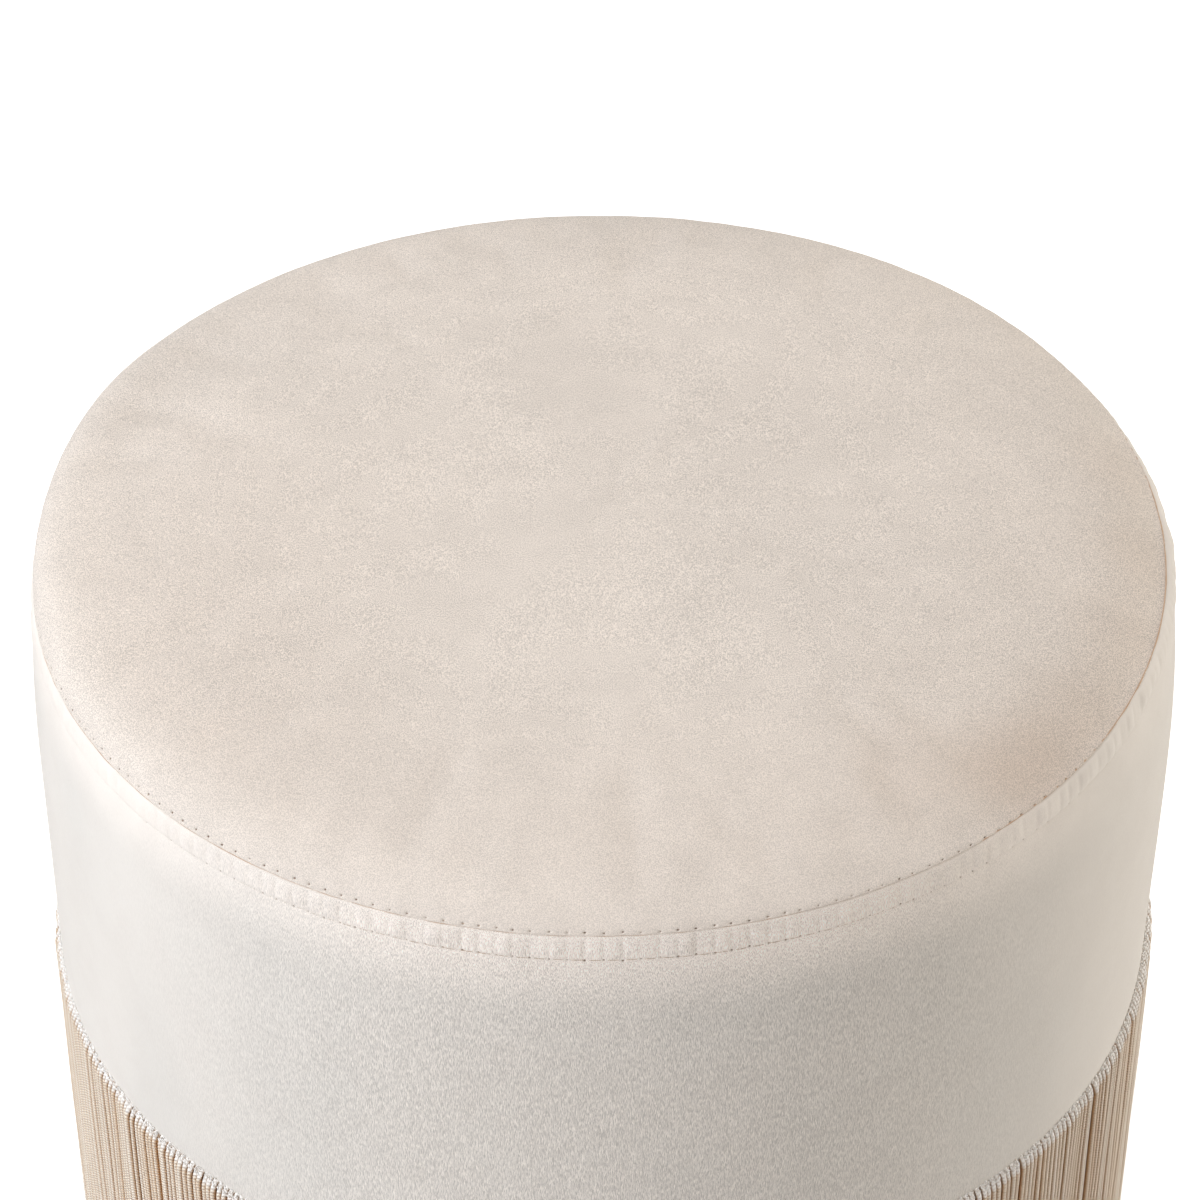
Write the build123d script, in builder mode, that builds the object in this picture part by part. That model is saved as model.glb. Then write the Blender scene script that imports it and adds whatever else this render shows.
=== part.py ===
from build123d import *
import math
import os

# A round drum pouf. Two boards and six posts carry a bent hardboard wall. The wall and the seat are
# padded and covered in velvet, and a fringe of cords hangs from the velvet's lower edge to the floor.
# Millimetres, +Z up, the origin on the floor at the middle. The wall's joint is at the back, at +Y.

# Outer shape
overall_height = 410.0  # from the floor to the crown of the seat
cover_radius = 185.0  # the velvet side band
seam_inset = 3.0  # the rim's seam stands in from the band by this
lean_height = 60.0  # the band leans in over this height, up to the seam
crown_rise = 6.0  # the middle of the seat above its edge
edge_roll = 10.0  # radius of the seat's rolled edge, just above the seam
edge_least = 0.5  # the least rounding of a layer under that edge
shoulder_height = 10.0  # the seat's wadding comes down past the seam by this
band_height = 149.0  # from the seam down to the fringe

# Cloth and padding, as thicknesses
velvet = 1.5
lining = 1.0
dust_cloth = 1.0
wadding = 6.0
seat_padding = 50.0
wall_padding = 7.2
soft_gap = 0.3  # between one soft layer and the next
hem_overlap = 14.0  # the lining's turned hem reaches in past the dust cover's edge by this

# Wooden drum
board_thickness = 12.0
wall_thickness = 3.0
wall_gap = 0.2  # between a board's edge and the wall
joint_gap = 2.0  # between the wall's two ends
post_count = 6
post_width = 30.0
post_depth = 30.0
post_start = 30.0  # degrees, so that one post stands behind the wall's joint

# Fringe
cord_pitch = 2.95
cord_width = 2.1
cord_depth = 2.6
fringe_proud = 2.4  # the cords stand out from the velvet by this
floor_gap = 10.0  # the cords end this far above the floor
heading_height = 4.0
heading_lip = 0.2  # the heading stands out from the cords by this
header_height = 12.0  # the tape behind the band
header_tape = 1.5
fringe_lengths = 12
length_gap = 0.2  # between one length of heading and the next

# Feet
foot_count = 4
foot_start = 45.0  # degrees
foot_height = 15.0
foot_top_radius = 17.0
foot_base_radius = 14.0
foot_inset = 46.0  # from the board's edge to a foot's middle
foot_web = 7.0  # plastic above the screw's head
foot_rounding = 1.5

# Screws and staples
screw_radius = 2.0
screw_head_radius = 4.0
screw_head_height = 2.6
screw_gap = 0.1
head_gap = 0.6  # round a head in its recess
post_screw_length = 45.0
pilot_spare = 1.0  # a pilot hole is longer than its screw by this
tip_cover = 2.0  # wood left above a foot screw's tip
point_length = 3.0
sink_angle = 90.0
staple_width = 10.0
staple_leg = 8.0
staple_wire = 0.7
staple_strip = 1.2
staple_count = 24  # in each ring of staples
staple_start = 7.5  # degrees
dust_inset = 12.0  # from the board's edge to the dust cover's
staple_inset = 7.0  # from the dust cover's edge to its staples
joint_staple_count = 5  # on each side of the wall's joint
joint_staple_offset = 8.0  # from the joint's middle

# Heights of the seams and boards
seam_z = overall_height - crown_rise - edge_roll
shoulder_z = seam_z - shoulder_height
lean_z = seam_z - lean_height
fringe_z = seam_z - band_height
heading_z = fringe_z - soft_gap
header_top = fringe_z + header_height
hem_z = foot_height + dust_cloth
base_z = hem_z + lining
post_z = base_z + board_thickness
wadding_depth = velvet + soft_gap  # below the seat's face
foam_depth = wadding_depth + wadding + soft_gap
top_z = overall_height - foam_depth - seat_padding
post_top = top_z - board_thickness

# Radii of the layers, from the velvet in
seam_radius = cover_radius - seam_inset
band_inner = cover_radius - velvet
header_outer = band_inner - soft_gap
header_inner = header_outer - header_tape
lining_outer = header_inner - soft_gap
lining_inner = lining_outer - lining
padding_inner = band_inner - soft_gap - wall_padding
wall_outer = padding_inner - soft_gap - staple_wire
wall_inner = wall_outer - wall_thickness
board_radius = wall_inner - wall_gap
dust_radius = board_radius - dust_inset
hem_radius = dust_radius - hem_overlap
staple_circle = dust_radius - staple_inset
post_circle = math.sqrt(board_radius**2 - (post_width / 2) ** 2) - post_depth / 2
foot_circle = board_radius - foot_inset
cord_outer = cover_radius + fringe_proud
cord_circle = cord_outer - cord_depth / 2

base_face = Plane(origin=(0, 0, base_z), z_dir=(0, 0, -1))
top_face = Plane.XY.offset(top_z)

os.makedirs("parts", exist_ok=True)


def write(builder, name):
    """Label a finished piece and write it under its name."""
    builder.part.label = name
    export_step(builder.part, f"parts/{name}.step")


def ring_section(inner, outer, low, high):
    """The half section of a plain ring about the Z axis."""
    with BuildSketch(Plane.XZ) as section:
        with Locations(((inner + outer) / 2, (low + high) / 2)):
            Rectangle(outer - inner, high - low)
    return section.sketch


def seat_section(depth, low):
    """The half section of all that lies this deep under the seat's face, down to a height."""
    radius = seam_radius - depth
    crown = overall_height - depth
    with BuildSketch(Plane.XZ) as section:
        with BuildLine():
            top = TangentArc((0, crown), (radius, crown - crown_rise), tangent=(1, 0))
            Polyline(top @ 1, (radius, low), (0, low), top @ 0)
        make_face()
        rim = section.vertices().group_by(Axis.X)[-1].sort_by(Axis.Y)[-1]
        fillet(rim, max(edge_roll - depth, edge_least))
    return section.sketch


def band_section():
    """The half section of the velvet band, from the fringe up to the seam."""
    with BuildSketch(Plane.XZ) as section:
        with BuildLine():
            outside = Line((cover_radius, fringe_z), (cover_radius, lean_z))
            lean = TangentArc(outside @ 1, (seam_radius, seam_z), tangent=(0, 1))
            inside = Line((band_inner, fringe_z), (band_inner, lean_z))
            under = TangentArc(inside @ 1, (seam_radius - velvet, seam_z), tangent=(0, 1))
            Line(lean @ 1, under @ 1)
            Line(outside @ 0, inside @ 0)
        make_face()
    return section.sketch


def wall_foam_section():
    """The half section of the foam behind the band, which leans in as the band does."""
    low = header_top + soft_gap
    high = shoulder_z - soft_gap
    bend = (lean_height**2 + seam_inset**2) / (2 * seam_inset) - velvet - soft_gap
    leaning = header_outer - bend + math.sqrt(bend**2 - (high - lean_z) ** 2)
    with BuildSketch(Plane.XZ) as section:
        with BuildLine():
            outside = Line((header_outer, low), (header_outer, lean_z))
            lean = TangentArc(outside @ 1, (leaning, high), tangent=(0, 1))
            Polyline(lean @ 1, (padding_inner, high), (padding_inner, low), outside @ 0)
        make_face()
    return section.sketch


# Wooden drum

with BuildPart() as base_board:
    with BuildSketch(Plane.XY.offset(base_z)):
        Circle(board_radius)
    extrude(amount=board_thickness)
    with Locations(base_face):
        with PolarLocations(post_circle, post_count, post_start):
            CounterSinkHole(
                screw_radius + screw_gap,
                screw_head_radius + screw_gap,
                counter_sink_angle=sink_angle,
            )
        with PolarLocations(foot_circle, foot_count, foot_start):
            Hole(screw_radius + screw_gap, depth=board_thickness - tip_cover + pilot_spare)
write(base_board, "base_board")

with BuildPart() as top_board:
    with BuildSketch(Plane.XY.offset(post_top)):
        Circle(board_radius)
    extrude(amount=board_thickness)
    with Locations(top_face):
        with PolarLocations(post_circle, post_count, post_start):
            CounterSinkHole(
                screw_radius + screw_gap,
                screw_head_radius + screw_gap,
                counter_sink_angle=sink_angle,
            )
write(top_board, "top_board")

pilot_depth = post_screw_length - board_thickness + pilot_spare

for index in range(post_count):
    turn = post_start + index * 360 / post_count
    with BuildPart() as post:
        with BuildSketch(Plane.XY.offset(post_z)):
            with PolarLocations(post_circle, 1, turn):
                Rectangle(post_depth, post_width)
        extrude(amount=post_top - post_z)
        ends = post.faces().sort_by(Axis.Z)
        with Locations(ends[0], ends[-1]):
            Hole(screw_radius + screw_gap, depth=pilot_depth)
    write(post, f"post_{index + 1}")

with BuildPart() as wall_panel:
    with BuildSketch(Plane.XY.offset(base_z)):
        Circle(wall_outer)
        Circle(wall_inner, mode=Mode.SUBTRACT)
        with Locations((0, wall_outer)):
            Rectangle(joint_gap, wall_outer, mode=Mode.SUBTRACT)
    extrude(amount=top_z - base_z)
write(wall_panel, "wall_panel")

# Screws and staples

with BuildPart() as post_screw:
    with BuildSketch(Plane.XZ):
        with BuildLine():
            neck_z = screw_radius - screw_head_radius
            Polyline(
                (0, 0),
                (screw_head_radius, 0),
                (screw_radius, neck_z),
                (screw_radius, point_length - post_screw_length),
                (0, -post_screw_length),
                (0, 0),
            )
        make_face()
    revolve(axis=Axis.Z)

with BuildPart() as post_screws:
    with Locations(base_face, top_face):
        with PolarLocations(post_circle, post_count, post_start):
            add(post_screw.part)
write(post_screws, "post_screws")

foot_screw_top = post_z - tip_cover
foot_seat_z = foot_height - foot_web  # where the screw's head bears

with BuildPart() as foot_screw:
    with BuildSketch(Plane.XZ):
        with BuildLine():
            Polyline(
                (0, foot_seat_z - screw_head_height),
                (screw_head_radius, foot_seat_z - screw_head_height),
                (screw_head_radius, foot_seat_z),
                (screw_radius, foot_seat_z),
                (screw_radius, foot_screw_top - point_length),
                (0, foot_screw_top),
                (0, foot_seat_z - screw_head_height),
            )
        make_face()
    revolve(axis=Axis.Z)

with BuildPart() as foot_screws:
    with PolarLocations(foot_circle, foot_count, foot_start):
        add(foot_screw.part)
write(foot_screws, "foot_screws")

# One staple, its crown across Y on the plane X = 0 and its legs going in along -X
with BuildPart() as staple:
    with BuildSketch(Plane.XY.offset(-staple_strip / 2)):
        with Locations(((staple_wire - staple_leg) / 2, 0)):
            Rectangle(staple_leg + staple_wire, staple_width)
        with Locations((-staple_leg / 2, 0)):
            Rectangle(staple_leg, staple_width - 2 * staple_wire, mode=Mode.SUBTRACT)
    extrude(amount=staple_strip)

joint_turn = math.degrees(joint_staple_offset / wall_outer)
joint_step = (post_top - post_z) / joint_staple_count
joint_heights = [post_z + (index + 0.5) * joint_step for index in range(joint_staple_count)]

with BuildPart() as wall_staples:
    for ring_z in (base_z + board_thickness / 2, post_top + board_thickness / 2):
        with Locations(Plane.XY.offset(ring_z)):
            with PolarLocations(wall_outer, staple_count, staple_start):
                add(staple.part)
    for staple_z in joint_heights:
        for turn in (90 - joint_turn, 90 + joint_turn):
            with Locations(Plane.XY.offset(staple_z)):
                with PolarLocations(wall_outer, 1, turn):
                    add(staple.part, rotation=(90, 0, 0))
write(wall_staples, "wall_staples")

with BuildPart() as base_staples:
    with Locations(Plane.XY.offset(foot_height)):
        with PolarLocations(staple_circle, staple_count, staple_start):
            add(staple.part, rotation=(0, 90, 0))
write(base_staples, "base_staples")

# Padding

with BuildPart() as seat_foam:
    revolve(seat_section(foam_depth, top_z), axis=Axis.Z)
    shoulder = ring_section(0, padding_inner - soft_gap, top_z, shoulder_z - soft_gap)
    revolve(shoulder, axis=Axis.Z)
write(seat_foam, "seat_foam")

with BuildPart() as seat_wadding:
    revolve(seat_section(wadding_depth, shoulder_z), axis=Axis.Z)
    revolve(seat_section(wadding_depth + wadding, shoulder_z), axis=Axis.Z, mode=Mode.SUBTRACT)
write(seat_wadding, "seat_wadding")

with BuildPart() as wall_foam:
    revolve(wall_foam_section(), axis=Axis.Z)
write(wall_foam, "wall_foam")

with BuildPart() as lower_wrap:
    revolve(ring_section(padding_inner, lining_inner - soft_gap, base_z, header_top), axis=Axis.Z)
write(lower_wrap, "lower_wrap")

# Covers

with BuildPart() as top_panel:
    revolve(seat_section(0, seam_z), axis=Axis.Z)
    revolve(seat_section(velvet, seam_z), axis=Axis.Z, mode=Mode.SUBTRACT)
write(top_panel, "top_panel")

with BuildPart() as side_band:
    revolve(band_section(), axis=Axis.Z)
write(side_band, "side_band")

with BuildPart() as lower_lining:
    with BuildSketch(Plane.XZ) as lining_section:
        with BuildLine():
            Polyline(
                (lining_outer, header_top),
                (lining_outer, hem_z),
                (hem_radius, hem_z),
                (hem_radius, base_z),
                (lining_inner, base_z),
                (lining_inner, header_top),
                (lining_outer, header_top),
            )
        make_face()
        corner = lining_section.vertices().group_by(Axis.Y)[0].sort_by(Axis.X)[-1]
        fillet(corner, lining)
    revolve(axis=Axis.Z)
write(lower_lining, "lower_lining")

with BuildPart() as dust_cover:
    with BuildSketch(Plane.XY.offset(foot_height)):
        Circle(dust_radius)
        with PolarLocations(foot_circle, foot_count, foot_start):
            Circle(screw_radius + screw_gap, mode=Mode.SUBTRACT)
    extrude(amount=dust_cloth)
write(dust_cover, "dust_cover")

# Fringe

with BuildPart() as fringe_header:
    revolve(ring_section(header_inner, header_outer, heading_z, header_top), axis=Axis.Z)
write(fringe_header, "fringe_header")

gap_turn = math.degrees(length_gap / cord_outer)
length_turn = 360 / fringe_lengths - gap_turn
cord_count = round(math.radians(length_turn) * cord_circle / cord_pitch)
cord_top = heading_z - heading_height / 2  # the cords run half way up into the heading

with BuildPart() as fringe_length:
    heading = ring_section(
        header_inner, cord_outer + heading_lip, heading_z - heading_height, heading_z
    )
    revolve(heading, axis=Axis.Z, revolution_arc=length_turn)
    with BuildSketch(Plane.XY.offset(floor_gap)):
        with PolarLocations(cord_circle, cord_count, length_turn / cord_count / 2, length_turn):
            Rectangle(cord_depth, cord_width)
    extrude(amount=cord_top - floor_gap)

with BuildPart() as fringe_cords:
    with PolarLocations(0, fringe_lengths):
        add(fringe_length.part)
write(fringe_cords, "fringe_cords")

# Feet

for index in range(foot_count):
    turn = foot_start + index * 360 / foot_count
    with BuildPart() as foot:
        for level, radius in ((0, foot_base_radius), (foot_height, foot_top_radius)):
            with BuildSketch(Plane.XY.offset(level)):
                with PolarLocations(foot_circle, 1, turn):
                    Circle(radius)
        loft()
        fillet(foot.edges().group_by(Axis.Z)[0], foot_rounding)
        with Locations(foot.faces().sort_by(Axis.Z)[0]):
            CounterBoreHole(
                screw_radius + screw_gap,
                screw_head_radius + head_gap,
                counter_bore_depth=foot_seat_z,
            )
    write(foot, f"foot_{index + 1}")
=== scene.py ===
"""A round velvet pouf with a fringe of knitted cords: its soft pieces, finishes, lights and camera."""
import math

import bmesh
import bpy
import numpy as np
from mathutils import Matrix, Vector


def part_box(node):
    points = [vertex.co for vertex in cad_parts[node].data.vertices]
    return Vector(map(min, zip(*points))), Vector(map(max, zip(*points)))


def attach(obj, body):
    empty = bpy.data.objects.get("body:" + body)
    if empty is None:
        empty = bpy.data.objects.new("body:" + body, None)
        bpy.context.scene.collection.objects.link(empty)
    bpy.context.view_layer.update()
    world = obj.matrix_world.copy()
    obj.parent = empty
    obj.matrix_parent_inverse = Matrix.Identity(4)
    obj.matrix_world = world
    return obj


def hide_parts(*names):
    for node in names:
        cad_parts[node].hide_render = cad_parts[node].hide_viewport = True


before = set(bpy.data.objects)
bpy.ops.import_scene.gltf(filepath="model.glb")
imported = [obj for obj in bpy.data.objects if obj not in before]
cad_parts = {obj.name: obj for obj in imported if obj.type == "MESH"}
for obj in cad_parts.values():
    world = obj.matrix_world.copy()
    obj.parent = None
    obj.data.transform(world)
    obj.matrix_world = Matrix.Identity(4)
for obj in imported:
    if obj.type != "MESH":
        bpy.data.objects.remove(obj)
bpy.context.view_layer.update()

full_turn = 2 * math.pi

# Sizes that the drawing's pieces give, in metres
seat_low, seat_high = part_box("top_panel")
band_low, band_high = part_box("side_band")
cords_low, cords_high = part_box("fringe_cords")
seam_radius = seat_high.x
seam_z = seat_low.z
crown_z = seat_high.z
cover_radius = band_high.x
hem_z = band_low.z
fringe_end_z = cords_low.z
fringe_radius = cords_high.x

# Shape of the covers
dome_power = 6.0  # the seat is a dome, flatter in the middle the higher this is
dome_ease = 0.62  # and softer at its rim the higher this is
seam_tilt = 0.0133  # the seam isn't quite level: it rises to the right at this slope
hem_tilt = 0.0045  # and so does the hem, less
lean_height = 0.060  # the band leans in over this height, up to the seam
velvet = 0.0015  # thickness of the covers
hem_roll = 0.0009  # radius of the rolled hem
cloth_frames = 18
cloth_slack = 0.0006  # how uneven the seat's cloth is before it swells
cloth_limit = 0.0008  # the most that its uneven swell may move a point
right_dent = 0.0029  # the rim is drawn in by this at the right
front_dent = 0.0012  # and by this at the front
shoulder_rise = 0.0024  # the band stands out by this under the seam at the right
band_bulge = 0.0012  # and by this half way down
band_wave = 0.0005  # slow waves round the band
rim_ripple = 0.00012  # small waves of the seat along its rim
fine_ripple = 0.00006
hole_tug = 0.0001  # the seat is drawn in round each needle hole by this
seat_fullness = [  # how far the seat's edge swells, at which angle and over how many degrees
    (0.0038, 155, 38),
    (0.0012, 90, 45),
    (0.0010, 46, 24),
    (0.0012, 158, 12),
]

# The seam at the rim and its two rows of stitches
stitch_count = 216
stitch_pitch = full_turn / stitch_count
seam_depth = 0.00025  # both covers are drawn in at the seam by this
seam_width = 0.0003
seam_thread_radius = 0.00019
seam_thread_depth = 0.00034
upper_row = 0.0017  # on the seat, above the seam
lower_row = 0.0086  # on the band, below the seam
needle_radius = 0.00034
needle_depth = 0.0006
thread_radius = 0.00013
thread_twist = 0.001  # length of one twist of the thread
stitch_dive = 0.0005  # a stitch goes down into its needle holes by this
stitch_rise = 0.00056  # and comes up between them by this
strip_puff = 0.0005  # the strip between the rows stands up by this
strip_pinch = 0.0003  # and is drawn in at each needle hole by this
strip_ripple = 0.00026
row_dip = 0.0002  # the band is drawn in along its row by this
row_least = 0.35  # of that dip stays where the pile covers the row
row_pull = 0.0003  # waves that the row pulls in the band below it
seat_strokes_and_shade = [  # patches painted deeper, and how much: stroked pile near the front right, painted shade along the right rim
    (0.092, -0.122, 0.30),
    (0.126, -0.117, 0.75),
    (0.146, -0.091, 0.50),
    (0.165, -0.056, 0.35),
    (0.174, -0.014, 0.35),
    (0.172, 0.030, 0.30),
]

# The fringe
cord_count = 520
cord_pitch = full_turn / cord_count
cord_radius = 0.00094
rib_pitch = 0.0012
cord_top = 0.0010  # the cords come out from the band this much above its hem
shoulder_drop = 0.0052  # and bend over to hang down within this
straight_steps = 13
outer_hang = fringe_radius - 0.0010  # the radius at which the outer cords hang
inner_hang = fringe_radius - 0.0026
outer_inset = 0.0008  # how far inside the velvet's face the outer cords come out
inner_inset = 0.0018
cord_cut = 0.0025  # the ends are cut unevenly by up to this
cord_wave = 0.0002  # how far a cord waves in and out as it hangs
settle_drop = 0.012  # how soon below the hem neighbours draw together
cord_stray = 0.09  # of the pitch: how unevenly the cords start
cord_bunch = 0.20  # how far neighbours draw together as they hang
cord_lean = 0.9  # how far groups of cords lean over at their ends
cord_drift = 0.35  # and each cord by itself
outer_seed = 51
inner_seed = 61
loop_seed = 41
loops_per_cord = 12
loop_radius = 0.0003
loop_turn_start = 4  # degrees of the cords' bend at which the loops begin
loop_turn_side = 24  # and end at the two sides
loop_turn_front = 58  # and at the front and back

# Hidden layers
layer_count = 144  # points round the seat's padding
wall_count = 216  # and round the layers of the wall
wrap_gap = 0.0010  # between the wall panel and its wraps
soft_gap = 0.0004  # between one soft layer and the next
foam_step = [  # the foam's edge below the seam: how far in and how far down
    (0.0, 0.0125),
    (0.002, 0.0105),
    (0.0035, 0.009),
    (0.0035, 0.002),
]


def around(count):
    """Angles of points spaced evenly round the axis."""
    return np.arange(count) * (full_turn / count)


def swell(seed, fewest, most):
    """A smooth uneven wave round the pouf, about -1 to 1, that shifts along the cloth."""
    chance = np.random.default_rng(seed)
    waves = np.arange(fewest, most + 1)
    start = chance.uniform(0, full_turn, len(waves))
    drift = chance.uniform(-1, 1, len(waves))
    size = chance.uniform(0.5, 1.0, len(waves))
    size /= math.sqrt(2 * np.sum(size**2))

    def wave(angle, along):
        turn = np.asarray(angle)[..., None] * waves + start + np.asarray(along)[..., None] * drift
        return np.sum(size * np.cos(turn), axis=-1)

    return wave


def hump(along, middle, width):
    """A smooth rise to 1 at the middle, in a place measured along the cloth."""
    return np.exp(-(((along - middle) / width) ** 2))


class Outline:
    """A line in the half section, given as radius and height, with places measured along it."""

    def __init__(self, points, side, tilt):
        self.points = np.asarray(points)
        self.tilt = tilt
        steps = np.hypot(*np.diff(self.points, axis=0).T)
        self.marks = np.concatenate([[0.0], np.cumsum(steps)])
        slope = np.gradient(self.points, self.marks, axis=0)
        slope /= np.hypot(slope[:, 0], slope[:, 1])[:, None]
        self.outward = side * np.column_stack([-slope[:, 1], slope[:, 0]])
        self.length = self.marks[-1]

    def section(self, along, lift):
        """Radius and height at a place along the line, lifted off it."""
        radius = np.interp(along, self.marks, self.points[:, 0])
        height = np.interp(along, self.marks, self.points[:, 1])
        radius = radius + lift * np.interp(along, self.marks, self.outward[:, 0])
        height = height + lift * np.interp(along, self.marks, self.outward[:, 1])
        return np.stack([radius, height], axis=-1)

    def place(self, along, angle, lift):
        """Points in space at a place along the line and an angle round the axis, lifted off it."""
        section = self.section(along, lift)
        radius, height, angle = np.broadcast_arrays(section[..., 0], section[..., 1], angle)
        height = height + self.tilt(along) * radius * np.cos(angle)
        return np.stack([radius * np.cos(angle), radius * np.sin(angle), height], axis=-1)


def arc(middle, radius, first, last, count):
    """Points on an arc as radius and height, between two angles from the level in degrees."""
    turn = np.radians(np.linspace(first, last, count))
    return np.column_stack([middle[0] + radius * np.cos(turn), middle[1] + radius * np.sin(turn)])


def seat_outline():
    """From the seam up over the full edge to the middle of the crown."""
    reach = np.sin(np.linspace(math.pi / 2, 0, 240))
    rise = (1 - reach**dome_power) ** dome_ease
    return np.column_stack([seam_radius * reach, seam_z + (crown_z - seam_z) * rise])


def band_outline():
    """From the seam down the leaning part and the upright wall to the rolled hem."""
    inset = cover_radius - seam_radius
    lean_radius = (inset**2 + lean_height**2) / (2 * inset)
    lean_middle = (cover_radius - lean_radius, seam_z - lean_height)
    start = math.degrees(math.asin(lean_height / lean_radius))
    lean = arc(lean_middle, lean_radius, start, 0, 60)
    hem = arc((cover_radius - hem_roll, hem_z + hem_roll), hem_roll, 0, -90, 12)
    return np.vstack([lean, hem])


def seat_tilt(along):
    """The seat follows the seam's slope at its edge only: its crown is level."""
    return seam_tilt * hump(along, 0, 0.005)


def band_tilt(along):
    """The band's slope goes over from the seam's to the hem's."""
    return seam_tilt + (hem_tilt - seam_tilt) * along / (seam_z - hem_z)


seat_line = Outline(seat_outline(), -1, seat_tilt)
band_line = Outline(band_outline(), 1, band_tilt)
seat_waves = swell(11, 2, 7)
rim_waves = swell(12, 9, 34)
fine_waves = swell(13, 40, 110)
band_waves = swell(14, 2, 9)
pull_waves = swell(15, 12, 48)

sewing = np.random.default_rng(17)
hole_size = sewing.uniform(0.6, 1.1, stitch_count)  # no two needle holes are quite alike
hole_shift = sewing.normal(0, 0.06 * stitch_pitch, stitch_count)
hole_drop = sewing.normal(0, 0.00016, stitch_count)


def to_hole(angle):
    """Distance round the rim to the nearest needle hole, and the number of that hole."""
    hole = np.rint(np.asarray(angle) / stitch_pitch).astype(int)
    number = hole % stitch_count
    return seam_radius * np.abs(angle - hole * stitch_pitch - hole_shift[number]), number


def needle_mark(along, angle, row):
    """Up to 1 in a needle hole of a row, and 0 away from it."""
    away, number = to_hole(angle)
    mark = hump(along, row + hole_drop[number], needle_radius) * hump(away, 0, needle_radius)
    return mark * hole_size[number]


def off_angle(angle, middle):
    """Degrees from an angle to a middle one, the short way round."""
    return (np.degrees(angle) - middle + 180) % 360 - 180


def rim_dent(along, angle):
    """The rim is drawn in a little at the right and the front."""
    right = off_angle(angle, -8)
    dent = right_dent * hump(right, 0, np.where(right > 0, 36, 50))
    dent = dent + front_dent * hump(off_angle(angle, -95), 0, 45)
    return -dent * hump(along, 0, 0.017)


def band_shoulder(along, angle):
    """At the right the band comes up over the padding's edge, and the seam lies in on the top."""
    rise = (1 - np.exp(-along / 0.0018)) * hump(along, 0.002, 0.014)
    return shoulder_rise * hump(off_angle(angle, 3), 0, 30) * rise


def row_show(angle):
    """How much of the lower row shows, from 1 down: the pile covers it at the two sides."""
    right = 0.85 * hump(off_angle(angle, -20), 0, 35)
    left = 0.75 * hump(off_angle(angle, -165), 0, 40)
    return 1 - right - left


def bridge(first, second):
    """Faces between two rings of point numbers, one of which may have several times as many."""
    if len(first) < len(second):
        return [face[::-1] for face in bridge(second, first)]
    if len(second) == 1:
        following = first[1:] + first[:1]
        return [(start, end, second[0]) for start, end in zip(first, following)]
    share = len(first) // len(second)
    half = share // 2
    faces = []
    for index, corner in enumerate(second):
        follower = second[(index + 1) % len(second)]
        fine = [first[(index * share + step) % len(first)] for step in range(share + 1)]
        if share == 1:
            faces.append((fine[0], fine[1], follower, corner))
            continue
        faces += [(fine[step], fine[step + 1], corner) for step in range(half)]
        faces.append((fine[half], follower, corner))
        faces += [(fine[step], fine[step + 1], follower) for step in range(half, share)]
    return faces


def skin(rings, closed=True):
    """Points and faces of a skin drawn over rings of points, in their order."""
    points = []
    numbers = []
    for ring in rings:
        numbers.append(list(range(len(points), len(points) + len(ring))))
        points += [tuple(point) for point in ring]
    pairs = list(zip(numbers, numbers[1:]))
    if closed:
        pairs.append((numbers[-1], numbers[0]))
    faces = []
    for first, second in pairs:
        if len(first) > 1 or len(second) > 1:
            faces += bridge(first, second)
    return points, faces


def between(table, places, along, angle):
    """A value from a table of rings at these places, drawn out smoothly between its entries."""
    along, angle = np.broadcast_arrays(along, angle)
    row = np.interp(along, places, np.arange(len(places)))
    column = (angle / full_turn) % 1 * table.shape[1]
    low = np.minimum(row.astype(int), len(places) - 2)
    left = column.astype(int) % table.shape[1]
    right = (left + 1) % table.shape[1]
    up = row - low
    over = column - np.floor(column)
    near = table[low, left] * (1 - over) + table[low, right] * over
    far = table[low + 1, left] * (1 - over) + table[low + 1, right] * over
    return near * (1 - up) + far * up


def blow_up(places, columns):
    """Run the seat's velvet as cloth, held at the seam and pressed up from below.

    It gives how unevenly the cloth swells, in rings of points at these places. How high it stands
    on the whole comes from its outline.
    """
    angle = around(columns)
    free = (1 - np.exp(-((places / 0.02) ** 2)))[:, None]
    slack = cloth_slack * free * seat_waves(angle[None], places[:, None] / 0.05)
    start = np.array([seat_line.place(along, angle, lift) for along, lift in zip(places, slack)])
    points, faces = skin([*start, [(0.0, 0.0, crown_z)]], closed=False)
    mesh = bpy.data.meshes.new("cloth")
    mesh.from_pydata(points, [], faces)
    helper = bpy.data.objects.new("cloth", mesh)
    scene = bpy.context.scene
    scene.collection.objects.link(helper)
    helper.vertex_groups.new(name="seam").add(list(range(columns)), 1.0, "REPLACE")
    cloth = helper.modifiers.new("cloth", "CLOTH")
    cloth.settings.vertex_group_mass = "seam"
    cloth.settings.mass = 0.05
    cloth.settings.quality = 6
    cloth.settings.tension_stiffness = 40
    cloth.settings.compression_stiffness = 40
    cloth.settings.use_pressure = True
    cloth.settings.uniform_pressure_force = 4.0
    cloth.settings.effector_weights.gravity = 0.0
    cloth.point_cache.frame_end = cloth_frames
    for frame_number in range(1, cloth_frames + 1):
        scene.frame_set(frame_number)
    shape = helper.evaluated_get(bpy.context.evaluated_depsgraph_get()).to_mesh()
    moved = np.empty(3 * len(points))
    shape.vertices.foreach_get("co", moved)
    moved = moved.reshape(-1, 3)[:-1].reshape(start.shape) - start
    bpy.data.objects.remove(helper)
    scene.frame_set(1)
    out = np.interp(places, seat_line.marks, seat_line.outward[:, 0])[:, None]
    up = np.interp(places, seat_line.marks, seat_line.outward[:, 1])[:, None]
    away = moved[..., 0] * np.cos(angle) + moved[..., 1] * np.sin(angle)
    swollen = slack + away * out + moved[..., 2] * up
    swollen -= swollen.mean(axis=1, keepdims=True)
    return free * np.clip(swollen, -cloth_limit, cloth_limit)


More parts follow.
